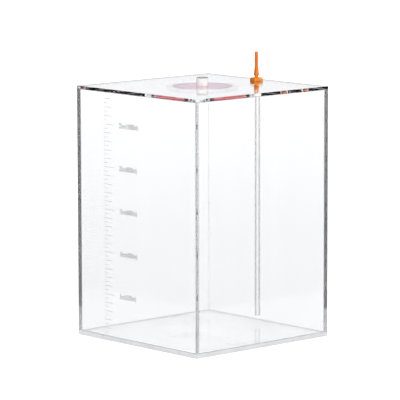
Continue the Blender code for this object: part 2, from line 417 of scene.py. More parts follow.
def place_group(tree, group, values):
    """The node group placed in a material, with these values on its inputs."""
    placed = tree.nodes.new("ShaderNodeGroup")
    placed.node_tree = group
    for key, value in values.items():
        placed.inputs[key].default_value = value
    return placed


def let_lamps_through(tree, shader, color):
    """Light from lamps passes the piece straight, and is dimmed by color."""
    passing = add_node(tree, "BsdfTransparent", {"Color": (*color, 1.0)})
    chosen = add_node(tree, "MixShader")
    tree.links.new(add_node(tree, "LightPath").outputs["Is Shadow Ray"], chosen.inputs["Fac"])
    tree.links.new(shader.outputs[0], chosen.inputs[1])
    tree.links.new(passing.outputs[0], chosen.inputs[2])
    tree.links.new(chosen.outputs[0], tree.nodes["Material Output"].inputs["Surface"])


def polished_acrylic(
    name, tint, roughness, film, smudges=SHEET_SMUDGES, film_tint=FILM_TINT,
    depth_color=SHEET_DEPTH_COLOR, depth_density=SHEET_DEPTH_DENSITY,
):
    """Clear polished acrylic that darkens with its depth. film is how strongly handling marks cover it."""
    values = {
        "Base Color": (*tint, 1.0),
        "Transmission Weight": 1.0,
        "IOR": ACRYLIC_IOR,
        "Coat Roughness": FILM_ROUGHNESS,
        "Coat Tint": (*film_tint, 1.0),
    }
    made, tree, shader = new_material(name, values)
    given = {"Smudge Scale": smudges, "Roughness": roughness, "Film": film}
    marks = place_group(tree, handling_marks, given)
    tree.links.new(marks.outputs["Roughness"], shader.inputs["Roughness"])
    tree.links.new(marks.outputs["Film"], shader.inputs["Coat Weight"])
    depth = add_node(tree, "VolumeAbsorption", {"Color": (*depth_color, 1.0), "Density": depth_density})
    tree.links.new(depth.outputs[0], tree.nodes["Material Output"].inputs["Volume"])
    let_lamps_through(tree, shader, LAMP_PASS)
    return made


def welded_seam(name, haze, bubbles):
    """A joint between two sheets that light passes, but for the cement's haze and bubbles."""
    made, tree, shader = new_material(name, {"Base Color": (*SEAM_GREY, 1.0), "Specular IOR Level": 0.2})
    joint = place_group(tree, cement_joint, {"Haze": haze, "Bubbles": bubbles})
    tree.links.new(joint.outputs["Cover"], shader.inputs["Alpha"])
    tree.links.new(joint.outputs["Roughness"], shader.inputs["Roughness"])
    return made


def sawn_edge(name, light, dark):
    """Cut acrylic left matt, with the tool's marks. Its inside face glows with painted light, which stands in
    for light that falls on the edge and passes into the sheet.
    """
    values = {"IOR": ACRYLIC_IOR, "Specular IOR Level": 0.3, "Emission Strength": SAWN_GLOW}
    made, tree, shader = new_material(name, values)
    # Painted light: the inside face glows with the edge's lighter colour, standing in for light let in
    # through the matt edge.
    inside = add_node(tree, "NewGeometry").outputs["Backfacing"]
    tree.links.new(blend_colors(tree, inside, (0.0, 0.0, 0.0), light), shader.inputs["Emission Color"])
    marks = place_group(tree, saw_marks, {"Light": (*light, 1.0), "Dark": (*dark, 1.0)})
    tree.links.new(marks.outputs["Color"], shader.inputs["Base Color"])
    tree.links.new(marks.outputs["Roughness"], shader.inputs["Roughness"])
    relief = add_node(tree, "Bump", {"Strength": 0.35, "Distance": SAW_RELIEF})
    tree.links.new(marks.outputs["Height"], relief.inputs["Height"])
    tree.links.new(relief.outputs["Normal"], shader.inputs["Normal"])
    return made


clear_sheet = polished_acrylic("clear_sheet", SHEET_TINT, SHEET_ROUGHNESS, SHEET_FILM)
scuffed_floor = polished_acrylic("scuffed_floor", SHEET_TINT, FLOOR_ROUGHNESS, FLOOR_FILM)
weld_seam = welded_seam("weld_seam", WELD_HAZE, WELD_BUBBLES)
base_edge = sawn_edge("sawn_base_edge", SAWN_EDGE_COLOR_AND_GLOW, SAWN_EDGE_DARK)


def corner_span(near, far, low_z, high_z):
    """Two opposite corners of a box, sorted, from two (x, y) corners and two heights."""
    lows = (min(near[0], far[0]), min(near[1], far[1]), low_z)
    highs = (max(near[0], far[0]), max(near[1], far[1]), high_z)
    return lows, highs


seams = []
for side_x in (-1, 1):
    for side_y in (-1, 1):
        inner_corner = (side_x * INNER_X, side_y * INNER_Y)
        seams.append(corner_span(inner_corner, (side_x * OUTER_X, side_y * INNER_Y), WALL_FOOT, WALL_HEAD))
for level in (WALL_FOOT, WALL_HEAD):
    for side in (-1, 1):
        seams.append(corner_span((-OUTER_X, side * INNER_Y), (OUTER_X, side * OUTER_Y), level, level))
        seams.append(corner_span((side * INNER_X, -INNER_Y), (side * OUTER_X, INNER_Y), level, level))


def lies_in(point, low, high):
    """Whether a point lies in the box between two corners."""
    return all(low[i] - FLAT <= point[i] <= high[i] + FLAT for i in range(3))


def link_piece(name, shape, materials):
    """Turns a bmesh into an object with these materials, flat faces crisp and round ones smooth."""
    mesh = bpy.data.meshes.new(name)
    shape.to_mesh(mesh)
    shape.free()
    mesh.shade_smooth()
    mesh.set_sharp_from_angle(angle=CRISP_ANGLE)
    for material in materials:
        mesh.materials.append(material)
    made = bpy.data.objects.new(name, mesh)
    scene.collection.objects.link(made)
    return made


def welded_sheet(name, low, high, polished, sawn_rim=False):
    """A flat sheet. Its faces that lie in a seam carry the cement joint, and its free edges are eased."""
    shape = bmesh.new()
    bmesh.ops.create_cube(shape, size=1.0)
    bmesh.ops.scale(shape, vec=Vector(high) - Vector(low), verts=shape.verts)
    bmesh.ops.translate(shape, vec=(Vector(low) + Vector(high)) / 2, verts=shape.verts)
    for axis in range(3):
        levels = {round(corner[axis], 6) for seam in seams for corner in seam}
        for level in sorted(levels):
            if low[axis] + FLAT < level < high[axis] - FLAT:
                spot, normal = Vector((0, 0, 0)), Vector((0, 0, 0))
                spot[axis], normal[axis] = level, 1.0
                everything = shape.verts[:] + shape.edges[:] + shape.faces[:]
                bmesh.ops.bisect_plane(shape, geom=everything, plane_co=spot, plane_no=normal, dist=SAME_SPOT)
    for face in shape.faces:
        middle = face.calc_center_median()
        in_seam = any(lies_in(middle, *seam) for seam in seams)
        face.material_index = 1 if in_seam else 0
        if sawn_rim and abs(face.normal.z) < 0.5:
            face.material_index = 2
    free = [
        edge for edge in shape.edges
        if edge.calc_face_angle(0.0) > CORNER_ANGLE
        and all(face.material_index != 1 for face in edge.link_faces)
    ]
    bmesh.ops.bevel(shape, geom=free, offset=EDGE_CHAMFER, segments=1, affect="EDGES", clamp_overlap=True)
    return link_piece(name, shape, [polished, weld_seam, base_edge])


def settle(piece, body, slot, *nodes):
    """Puts a finished piece on its body and in the place of its nodes."""
    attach(piece, body)
    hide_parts(*nodes)


base_corners = (-OUTER_X, -OUTER_Y, base_low.z), (OUTER_X, OUTER_Y, WALL_FOOT)
base_sheet = welded_sheet("base_sheet", *base_corners, scuffed_floor, True)
settle(base_sheet, "tank", "clear_sheet", "base_plate")
for name, node, side in (("front_sheet", "wall_front", -1), ("back_sheet", "wall_back", 1)):
    low, high = corner_span((-OUTER_X, side * INNER_Y), (OUTER_X, side * OUTER_Y), WALL_FOOT, WALL_HEAD)
    settle(welded_sheet(name, low, high, clear_sheet), "tank", "clear_sheet", node)
for name, node, side in (("left_sheet", "wall_left", -1), ("right_sheet", "wall_right", 1)):
    low, high = corner_span((side * INNER_X, -INNER_Y), (side * OUTER_X, INNER_Y), WALL_FOOT, WALL_HEAD)
    settle(welded_sheet(name, low, high, clear_sheet), "tank", "clear_sheet", node)

# ---------------------------------------------------------------------------------------
# Cement beads: the fine fillet of solvent cement that creeps out along the inside of each
# joint, round the floor, under the lid and up the four inside corners.
BEAD_SIZE = 0.0005
BEAD_ARC_STEPS = 4
BEAD_SLACK = 0.00002
BEAD_TINT = (0.97, 0.97, 0.98)
BEAD_ROUGHNESS = 0.18
BEAD_FILM = 0.10

bead_cement = polished_acrylic("bead_cement", BEAD_TINT, BEAD_ROUGHNESS, BEAD_FILM)


def bead_profile():
    """Hollow quarter-round corner fillet as (distance from one face, distance from the other)."""
    turns = [math.pi / 2 * step / BEAD_ARC_STEPS for step in range(BEAD_ARC_STEPS + 1)]
    hollow = [(BEAD_SIZE * (1 - math.sin(turn)), BEAD_SIZE * (1 - math.cos(turn))) for turn in turns]
    return [(0.0, 0.0)] + hollow


def loft(name, rings, materials):
    """A closed piece through a closed series of rings of points."""
    shape = bmesh.new()
    placed = [[shape.verts.new(point) for point in ring] for ring in rings]
    for here, after in zip(placed, placed[1:] + placed[:1]):
        for i in range(len(here)):
            j = (i + 1) % len(here)
            shape.faces.new([here[i], here[j], after[j], after[i]])
    bmesh.ops.recalc_face_normals(shape, faces=shape.faces)
    return link_piece(name, shape, materials)


def perimeter_bead(name, level, upward_sign):
    """A bead all round the inside of the walls, against the floor or against the lid."""
    rings = []
    for across_wall, off_level in bead_profile():
        x = INNER_X - BEAD_SLACK - across_wall
        y = INNER_Y - BEAD_SLACK - across_wall
        z = level + upward_sign * (BEAD_SLACK + off_level)
        rings.append([(-x, -y, z), (x, -y, z), (x, y, z), (-x, y, z)])
    return loft(name, rings, [bead_cement])


def corner_beads(name):
    """Four upright beads joined into one piece."""
    shape = bmesh.new()
    for side_x in (-1, 1):
        for side_y in (-1, 1):
            outline = [
                (side_x * (INNER_X - BEAD_SLACK - a), side_y * (INNER_Y - BEAD_SLACK - b))
                for a, b in bead_profile()
            ]
            foot = [shape.verts.new((x, y, WALL_FOOT + BEAD_SIZE)) for x, y in outline]
            head = [shape.verts.new((x, y, WALL_HEAD - BEAD_SIZE)) for x, y in outline]
            shape.faces.new(foot)
            shape.faces.new(head)
            for i in range(len(outline)):
                j = (i + 1) % len(outline)
                shape.faces.new([foot[i], foot[j], head[j], head[i]])
    bmesh.ops.recalc_face_normals(shape, faces=shape.faces)
    return link_piece(name, shape, [bead_cement])


for bead in (
    perimeter_bead("floor_cement_bead", WALL_FOOT, 1),
    perimeter_bead("lid_cement_bead", WALL_HEAD, -1),
    corner_beads("corner_cement_beads"),
):
    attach(bead, "tank")

# ---------------------------------------------------------------------------------------
# Lid: one polished sheet welded on the four walls, with the round filler hole and the
# drilled hole for the connector. Its edges are flame polished, and the upper corners of the
# sheet and of the filler hole are eased.
COVER_CLEARANCE = 0.0005
SHANK_HOLE_RADIUS = 0.00525
RIM_CHAMFER = 0.00015
LID_ROUGHNESS = 0.004
LID_FILM = 0.004
LID_SMUDGES = 22.0
LARGE_ROUND = 144
SMALL_ROUND = 72
JUST_INSIDE = 0.9999

disc_low, disc_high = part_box("cover_disc")
FILLER = (disc_low + disc_high) / 2
DISC_RADIUS = (disc_high.x - disc_low.x) / 2
FILLER_RADIUS = DISC_RADIUS + COVER_CLEARANCE
nut_low, nut_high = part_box("connector_nut")
CONNECTOR = (nut_low + nut_high) / 2
ledge_low, ledge_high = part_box("cover_ledge")
LEDGE_OUTER = (ledge_high.x - ledge_low.x) / 2


def circle(center, radius, count):
    turns = [2 * math.pi * i / count for i in range(count)]
    return [(center.x + radius * math.cos(turn), center.y + radius * math.sin(turn)) for turn in turns]


def within(point, center, radius):
    return (point.x - center.x) ** 2 + (point.y - center.y) ** 2 < radius ** 2


def flat_region(loops, keep):
    """Points and triangles of the flat region between loops. keep(middle) says which triangles stay."""
    points, edges = [], []
    for loop in loops:
        start = len(points)
        points += [Vector(point) for point in loop]
        edges += [(start + i, start + (i + 1) % len(loop)) for i in range(len(loop))]
    found, _, faces, *_ = geometry.delaunay_2d_cdt(points, edges, [], 1, SAME_SPOT)
    kept = []
    for face in faces:
        middle = sum((Vector(found[i]) for i in face), Vector((0, 0))) / len(face)
        if keep(middle):
            kept.append(face)
    return found, kept


def cut_plate(name, levels, rims, holes, marks_low, marks_high, in_seam, materials):
    """A plate between two levels, cut from sheet.

    rims are functions that give the loop a distance inside each edge, with its chamfer widths below and
    above. holes are (center, radius) of the open rims. The marks are loops that part seam faces from free
    ones, and in_seam(middle, level) says which is which.
    """
    shape = bmesh.new()
    spots = {}

    def corner(x, y, z):
        key = (round(x, 7), round(y, 7), round(z, 7))
        if key not in spots:
            spots[key] = shape.verts.new((x, y, z))
        return spots[key]

    for upper, marks in ((0, marks_low), (1, marks_high)):
        level = levels[upper]
        loops = [rim(chamfers[upper]) for rim, chamfers in rims]
        eased = [(center, radius + widths[upper]) for (center, radius), (_, widths) in zip(holes, rims[1:])]

        def keep(middle):
            return not any(within(middle, center, radius * JUST_INSIDE) for center, radius in eased)

        points, faces = flat_region(loops + marks, keep)
        for face in faces:
            ring = [corner(points[i][0], points[i][1], level) for i in face]
            made = shape.faces.new(ring if upper else ring[::-1])
            made.material_index = 1 if in_seam(made.calc_center_median(), upper) else 0
    for rim, (below, above) in rims:
        steps = [(below, levels[0])]
        if below:
            steps.append((0.0, levels[0] + below))
        if above:
            steps.append((0.0, levels[1] - above))
        steps.append((above, levels[1]))
        for (inset_a, z_a), (inset_b, z_b) in zip(steps, steps[1:]):
            loop_a, loop_b = rim(inset_a), rim(inset_b)
            for i in range(len(loop_a)):
                j = (i + 1) % len(loop_a)
                foot = [corner(*loop_a[i], z_a), corner(*loop_a[j], z_a)]
                head = [corner(*loop_b[j], z_b), corner(*loop_b[i], z_b)]
                shape.faces.new(foot + head)
    bmesh.ops.recalc_face_normals(shape, faces=shape.faces)
    return link_piece(name, shape, materials)


def lid_in_seam(middle, upper):
    """The lid is welded to the walls and to the ledge ring, on its underside."""
    over_wall = abs(middle.x) > INNER_X or abs(middle.y) > INNER_Y
    return not upper and (over_wall or within(middle, FILLER, LEDGE_OUTER))


polished_lid = polished_acrylic("polished_lid", SHEET_TINT, LID_ROUGHNESS, LID_FILM, LID_SMUDGES)
lid_rims = [
    (lambda inset: rectangle(OUTER_X - inset, OUTER_Y - inset), (0.0, EDGE_CHAMFER)),
    (lambda inset: circle(FILLER, FILLER_RADIUS + inset, LARGE_ROUND), (0.0, RIM_CHAMFER)),
    (lambda inset: circle(CONNECTOR, SHANK_HOLE_RADIUS + inset, SMALL_ROUND), (0.0, 0.0)),
]
lid_sheet = cut_plate(
    "lid_sheet",
    (WALL_HEAD, top_high.z),
    lid_rims,
    [(FILLER, FILLER_RADIUS), (CONNECTOR, SHANK_HOLE_RADIUS)],
    [rectangle(INNER_X, INNER_Y), circle(FILLER, LEDGE_OUTER, LARGE_ROUND)],
    [],
    lid_in_seam,
    [polished_lid, weld_seam],
)
settle(lid_sheet, "tank", "clear_sheet", "top_plate")

# ---------------------------------------------------------------------------------------
# Ledge ring: a flat clear ring welded under the filler hole. Its inner part sticks out
# below the hole and carries the cover.
LEDGE_SHELF = 0.006
LEDGE_INNER = FILLER_RADIUS - LEDGE_SHELF
LEDGE_THICKNESS = ledge_high.z - ledge_low.z

ledge_ring = cut_plate(
    "ledge_ring",
    (WALL_HEAD - LEDGE_THICKNESS, WALL_HEAD),
    [
        (lambda inset: circle(FILLER, LEDGE_OUTER - inset, LARGE_ROUND), (RIM_CHAMFER, 0.0)),
        (lambda inset: circle(FILLER, LEDGE_INNER + inset, LARGE_ROUND), (RIM_CHAMFER, RIM_CHAMFER)),
    ],
    [(FILLER, LEDGE_INNER)],
    [],
    [circle(FILLER, FILLER_RADIUS, LARGE_ROUND)],
    lambda middle, upper: upper and not within(middle, FILLER, FILLER_RADIUS),
    [clear_sheet, weld_seam],
)
settle(ledge_ring, "tank", "clear_sheet", "cover_ledge")

# ---------------------------------------------------------------------------------------
# Filler cover: a round disc of lilac tinted acrylic that drops into the filler hole flush
# with the lid and lies loose on the ledge, and a turned clear knob welded on its middle.
COVER_AIR = 0.00005
COVER_TINT = (0.645, 0.480, 0.685)
COVER_FILM_TINT = (0.70, 0.20, 0.20)
COVER_ABSORPTION = (1.0, 0.25, 0.15)
COVER_DENSITY = 30.0
COVER_ROUGHNESS = 0.02
COVER_FILM = 0.02
COVER_SMUDGES = 40.0
KNOB_TINT = (1.0, 0.985, 0.965)
KNOB_MILKINESS = 0.45
KNOB_ROUGHNESS = 0.05
KNOB_FILM = 0.01
KNOB_SMUDGES = 90.0
KNOB_HAZE = 0.05
KNOB_BUBBLES = 0.2
KNOB_CHAMFER = 0.0010
KNOB_LIMB_SHADE = (0.22, 0.15, 0.17)
KNOB_LIMB_START = 0.55
KNOB_LIMB_FULL = 0.90
# Painted shade: dark greys for the knob's top chamfer, which draw the dark line round its top edge.
KNOB_RIM_SHADE_AND_GLOW = (0.20, 0.18, 0.19)
KNOB_RIM_DEEPER_SHADE = (0.13, 0.12, 0.125)

knob_low, knob_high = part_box("cover_knob")
KNOB_RADIUS = (knob_high.x - knob_low.x) / 2

lilac_cover = polished_acrylic(
    "lilac_cover", COVER_TINT, COVER_ROUGHNESS, COVER_FILM,
    COVER_SMUDGES, COVER_FILM_TINT, COVER_ABSORPTION, COVER_DENSITY,
)
knob_seam = welded_seam("knob_seam", KNOB_HAZE, KNOB_BUBBLES)

cover_sheet = cut_plate(
    "cover_sheet",
    (WALL_HEAD + COVER_AIR, top_high.z),
    [(lambda inset: circle(FILLER, DISC_RADIUS - inset, LARGE_ROUND), (RIM_CHAMFER, RIM_CHAMFER))],
    [],
    [],
    [circle(FILLER, KNOB_RADIUS, SMALL_ROUND)],
    lambda middle, upper: upper and within(middle, FILLER, KNOB_RADIUS),
    [lilac_cover, knob_seam],
)
settle(cover_sheet, "cover", "tinted_cover", "cover_disc")

clear_knob = polished_acrylic("clear_knob", KNOB_TINT, KNOB_ROUGHNESS, KNOB_FILM, KNOB_SMUDGES)
knob_shader = clear_knob.node_tree.nodes["Principled BSDF"]
knob_shader.inputs["Transmission Weight"].default_value = 1.0 - KNOB_MILKINESS


def paint_limb_shade(material, tint, limb_shade, start, full):
    """Painted shade: darkens the colour of clear round stock where its side turns away from the view, drawing
    the dark edges of a clear rod or tube.
    """
    tree = material.node_tree
    facing = add_node(tree, "LayerWeight", {"Blend": 0.5}).outputs["Facing"]
    shade = blend_colors(tree, ramp_between(tree, facing, start, full), tint, limb_shade)
    tree.links.new(shade, tree.nodes["Principled BSDF"].inputs["Base Color"])


# Painted shade on the knob's turned-away sides.
paint_limb_shade(clear_knob, KNOB_TINT, KNOB_LIMB_SHADE, KNOB_LIMB_START, KNOB_LIMB_FULL)
# Painted shade: the knob's top chamfer gets a dark grey matt sawn-edge skin that also glows faintly inwards,
# drawing the dark line round the clear knob's top.
knob_rim = sawn_edge("knob_top_painted_shade", KNOB_RIM_SHADE_AND_GLOW, KNOB_RIM_DEEPER_SHADE)
turned_knob = cut_plate(
    "turned_knob",
    (top_high.z, knob_high.z),
    [(lambda inset: circle(FILLER, KNOB_RADIUS - inset, SMALL_ROUND), (0.0, KNOB_CHAMFER))],
    [],
    [],
    [],
    lambda middle, upper: not upper,
    [clear_knob, knob_seam, knob_rim],
)
# The slanted chamfer faces take the painted shade.
for face in turned_knob.data.polygons:
    if FLAT < face.normal.z < 1.0 - FLAT:
        face.material_index = 2
settle(turned_knob, "cover", "clear_knob", "cover_knob")

# ---------------------------------------------------------------------------------------
# Level scale: printed in grey ink on the outside of the front sheet. Zero is the tank's
# floor, the marks are 5 mm apart, and every fifth centimetre has figures for depth and volume.
INK_COLOR = (0.16, 0.16, 0.17)
INK_PALE = (0.30, 0.30, 0.31)
INK_DEPTH = 0.00001
INK_SETBACK = 0.00004
SCALE_LEFT = 0.049
MARK_STEP = 0.005
MARK_STEPS = 57
SHORT_MARK = 0.006
MIDDLE_MARK = 0.013
LONG_MARK = 0.0165
MARK_LINE = 0.00030
STEM_LINE = 0.00010
FIGURE_LEFT = 0.075
FIGURE_HEIGHT = 0.0086
FIGURE_NARROWING = 0.62
FIGURE_DROP = 0.0028
FIGURE_CURVE_STEPS = 3
LITRES_PER_CM = 0.4


def make_worn_print():
    """Screen-printed ink with pinholes and thin patches."""
    inputs = [("Ink", INK_COLOR), ("Thin Ink", INK_PALE), ("Speckle Scale", 2500.0)]
    tree, given, result = start_group("worn_print", inputs, [("Color", "Color"), ("Roughness", "Float")])
    speckle = stretched_noise(tree, (1.0, 1.0, 1.0), given["Speckle Scale"], 2.0)
    patches = stretched_noise(tree, (1.0, 1.0, 1.0), 60.0, 2.0)
    thin = ramp_between(tree, calculate(tree, "ADD", speckle, patches), 0.9, 1.2)
    tree.links.new(blend_colors(tree, thin, given["Ink"], given["Thin Ink"]), result["Color"])
    tree.links.new(ramp_between(tree, speckle, 0.3, 0.7, 0.5, 0.8), result["Roughness"])
    return tree


worn_print = make_worn_print()
scale_ink, ink_tree, ink_shader = new_material("scale_ink", {"Specular IOR Level": 0.2})
print_wear = place_group(ink_tree, worn_print, {"Ink": (*INK_COLOR, 1.0), "Thin Ink": (*INK_PALE, 1.0)})
ink_tree.links.new(print_wear.outputs["Color"], ink_shader.inputs["Base Color"])
ink_tree.links.new(print_wear.outputs["Roughness"], ink_shader.inputs["Roughness"])

print_face = -OUTER_Y + INK_SETBACK
print_left = -OUTER_X + SCALE_LEFT
scale_shape = bmesh.new()


def print_line(left, right, middle_z, thickness):
    """One printed line as a thin closed plate."""
    middle = ((left + right) / 2, print_face, middle_z)
    place = Matrix.Translation(middle) @ Matrix.Diagonal((right - left, INK_DEPTH, thickness, 1.0))
    bmesh.ops.create_cube(scale_shape, size=1.0, matrix=place)


def print_figures(words, left, middle_z):
    """Printed figures as thin closed shapes, turned to face the front."""
    writing = bpy.data.curves.new("figures", "FONT")
    writing.body = words
    writing.size = FIGURE_HEIGHT
    writing.extrude = INK_DEPTH / 2
    writing.resolution_u = FIGURE_CURVE_STEPS
    holder = bpy.data.objects.new("figures", writing)
    scene.collection.objects.link(holder)
    bpy.context.view_layer.update()
    shapes = bpy.data.meshes.new_from_object(holder)
    turn = Matrix.Rotation(math.pi / 2, 4, "X") @ Matrix.Diagonal((FIGURE_NARROWING, 1.0, 1.0, 1.0))
    shapes.transform(Matrix.Translation((left, print_face, middle_z - FIGURE_DROP)) @ turn)
    scale_shape.from_mesh(shapes)
    bpy.data.objects.remove(holder)
    bpy.data.meshes.remove(shapes)


for mark in range(1, MARK_STEPS):
    height = WALL_FOOT + MARK_STEP * mark
    length = SHORT_MARK
    if mark % 2 == 0:
        length = MIDDLE_MARK
    if mark % 10 == 0:
        length = LONG_MARK
    print_line(print_left, print_left + length, height, MARK_LINE)
    if mark % 10 == 0:
        centimetres = mark // 2
        volume = round(centimetres * LITRES_PER_CM * 1000)
        print_figures(f"{centimetres}cm({volume}ml)", -OUTER_X + FIGURE_LEFT, height)
stem_height = MARK_STEP * MARK_STEPS
stem_middle = WALL_FOOT + stem_height / 2
print_line(print_left - STEM_LINE / 2, print_left + STEM_LINE / 2, stem_middle, stem_height)
bmesh.ops.remove_doubles(scale_shape, verts=scale_shape.verts, dist=SAME_SPOT)
level_scale = link_piece("level_scale", scale_shape, [scale_ink])
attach(level_scale, "tank")

# ---------------------------------------------------------------------------------------
# Hose connector: one orange injection moulding with a long spigot, a barb, a hexagon
# flange, a threaded shank through the lid and a stub that the dip tube is pushed on.
ORANGE = (0.62, 0.095, 0.005)
# Painted light: the paler orange of the moulding's lower part.
ORANGE_PAINTED_LIGHT = (0.62, 0.175, 0.012)
# Paler orange for flow streaks and worn edges, which on the edges is also a painted highlight.
ORANGE_WORN_AND_LIT = (0.85, 0.34, 0.035)
ORANGE_GLOSS = 0.22
ORANGE_GRAIN = 2600.0
ORANGE_RELIEF = 0.00003
SPIGOT_RADIUS = 0.0020
TAPER_LENGTH = 0.0091
BARB_RADIUS = 0.0031
BARB_LAND = 0.0010
BARB_SHOULDER = 0.0014
NECK_RADIUS = 0.00225
NECK_LENGTH = 0.0020
FLANGE_HEIGHT = 0.0035
HEX_EASE = 0.00022
HEX_EASE_HEIGHT = 0.00036
SHANK_RADIUS = 0.0049
THREAD_PITCH = 0.0015
THREAD_DEPTH = 0.0006
THREAD_STEPS = 8
BORE_RADIUS = 0.0010
STUB_LENGTH = 0.0035
STUB_RADIUS = 0.0017
PARTING_RIDGE = 0.00005
EASE = 0.00015
ROUND_COLUMNS = 96

body_low, body_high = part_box("connector_body")
HEX_HALF_FLATS = (nut_high.y - nut_low.y) / 2
FLANGE_FOOT = top_high.z
FLANGE_TOP = FLANGE_FOOT + FLANGE_HEIGHT
SHANK_FOOT = body_low.z + STUB_LENGTH


def hexagon_radius(turn, half_flats):
    """Distance to the side of a hexagon with corners on +X and -X."""
    off_flat = turn % (math.pi / 3) - math.pi / 6
    return half_flats / math.cos(off_flat)


def thread_radius(turn, z):
    """A rounded vee thread that climbs anticlockwise."""
    phase = (z / THREAD_PITCH - turn / (2 * math.pi)) % 1.0
    return SHANK_RADIUS - THREAD_DEPTH * (0.5 - 0.5 * math.cos(2 * math.pi * phase))


def turned_piece(name, center, profile, materials):
    """A piece turned about the upright line through center.

    profile is a closed list of (radius, z), where radius is a number or a function of the turn.
    """
    rings = []
    for radius, z in profile:
        ring = []
        for column in range(ROUND_COLUMNS):
            turn = 2 * math.pi * column / ROUND_COLUMNS
            reach = radius(turn) if callable(radius) else radius
            ring.append((center.x + reach * math.cos(turn), center.y + reach * math.sin(turn), z))
        rings.append(ring)
    return loft(name, rings, materials)


def parted(radius):
    """A round with the fine ridge of the mould's parting line on two sides."""
    return lambda turn: radius + (PARTING_RIDGE if round(turn % math.pi, 6) == 0.0 else 0.0)


def eased_hexagon(half_flats, limit):
    """A hexagon whose corners are turned off at the limit."""
    return lambda turn: min(limit, hexagon_radius(turn, half_flats))


def threaded(z, clearance=0.0):
    """The round of the thread at this height."""
    return lambda turn: thread_radius(turn, z) + clearance


def evenly(start, end, count):
    """Heights from start to end in count equal steps."""
    return [start + (end - start) * i / count for i in range(count + 1)]


def hexagon_side(foot, head):
    """The outside of a hexagon, its upper and lower corners turned off in a lathe."""
    corner_reach = HEX_HALF_FLATS / math.cos(math.pi / 6)
    trimmed = corner_reach - HEX_EASE
    return [
        (eased_hexagon(HEX_HALF_FLATS - EASE / 2, trimmed - EASE), foot),
        (eased_hexagon(HEX_HALF_FLATS, trimmed), foot + EASE),
        (eased_hexagon(HEX_HALF_FLATS, corner_reach), foot + HEX_EASE_HEIGHT),
        (eased_hexagon(HEX_HALF_FLATS, corner_reach), head - HEX_EASE_HEIGHT),
        (eased_hexagon(HEX_HALF_FLATS, trimmed), head - EASE),
        (eased_hexagon(HEX_HALF_FLATS - EASE / 2, trimmed - EASE), head),
    ]


def make_moulded_skin():
    """Injection moulded plastic: flow streaks, a fine spark-eroded grain and paler edges, which are partly
    worn and partly a painted highlight.
    """
    inputs = [
        ("Color", ORANGE), ("Worn And Lit", ORANGE_WORN_AND_LIT), ("Grain Scale", ORANGE_GRAIN), ("Gloss", ORANGE_GLOSS)
    ]
    outputs = [("Color", "Color"), ("Roughness", "Float"), ("Height", "Float")]
    tree, given, result = start_group("moulded_skin", inputs, outputs)
    grain = stretched_noise(tree, (1.0, 1.0, 1.0), given["Grain Scale"], 3.0, 0.6)
    flow = stretched_noise(tree, (1.0, 1.0, 0.25), 220.0, 3.0)
    # Edges found by Pointiness take the paler colour, partly wear and partly a painted highlight.
    corners = ramp_between(tree, add_node(tree, "NewGeometry").outputs["Pointiness"], 0.52, 0.60)
    streaks = ramp_between(tree, flow, 0.3, 0.8, 0.0, 0.22)
    worn_and_lit = calculate(tree, "MAXIMUM", calculate(tree, "MULTIPLY", corners, 0.6), streaks)
    tree.links.new(blend_colors(tree, worn_and_lit, given["Color"], given["Worn And Lit"]), result["Color"])
    rough = calculate(tree, "MULTIPLY_ADD", grain, 0.16, given["Gloss"])
    tree.links.new(rough, result["Roughness"])
    tree.links.new(grain, result["Height"])
    return tree


moulded_skin = make_moulded_skin()


def moulded_plastic(name, color, worn_and_lit, gloss, grain_scale, relief_depth, values):
    """A moulded material with these constants. Returns it with its placed skin."""
    made, tree, shader = new_material(name, values)
    given = {"Color": (*color, 1.0), "Worn And Lit": (*worn_and_lit, 1.0), "Grain Scale": grain_scale, "Gloss": gloss}
    skin = place_group(tree, moulded_skin, given)
    tree.links.new(skin.outputs["Color"], shader.inputs["Base Color"])
    tree.links.new(skin.outputs["Roughness"], shader.inputs["Roughness"])
    relief = add_node(tree, "Bump", {"Strength": 0.3, "Distance": relief_depth})
    tree.links.new(skin.outputs["Height"], relief.inputs["Height"])
    tree.links.new(relief.outputs["Normal"], shader.inputs["Normal"])
    return made, skin


orange_plastic, orange_skin = moulded_plastic(
    "orange_plastic", ORANGE, ORANGE_WORN_AND_LIT, ORANGE_GLOSS, ORANGE_GRAIN, ORANGE_RELIEF,
    {"Specular IOR Level": 0.2},
)

barb_foot = FLANGE_TOP + NECK_LENGTH
barb_edge = barb_foot + BARB_SHOULDER
taper_foot = barb_edge + BARB_LAND
taper_head = taper_foot + TAPER_LENGTH


def paint_light_towards_foot(material, skin, low, high):
    """Painted light: the thick lower part of the moulding, next to the lid, is made paler than its thin
    spigot, standing in for light the lid throws up onto it.
    """
    tree = material.node_tree
    place = add_node(tree, "SeparateXYZ")
    tree.links.new(add_node(tree, "TexCoord").outputs["Object"], place.inputs[0])
    lit_share = ramp_between(tree, place.outputs["Z"], low, high, 1.0, 0.0)
    tree.links.new(blend_colors(tree, lit_share, ORANGE, ORANGE_PAINTED_LIGHT), skin.inputs["Color"])


# Painted light on the connector's lower part.
paint_light_towards_foot(orange_plastic, orange_skin, FLANGE_TOP, taper_head)

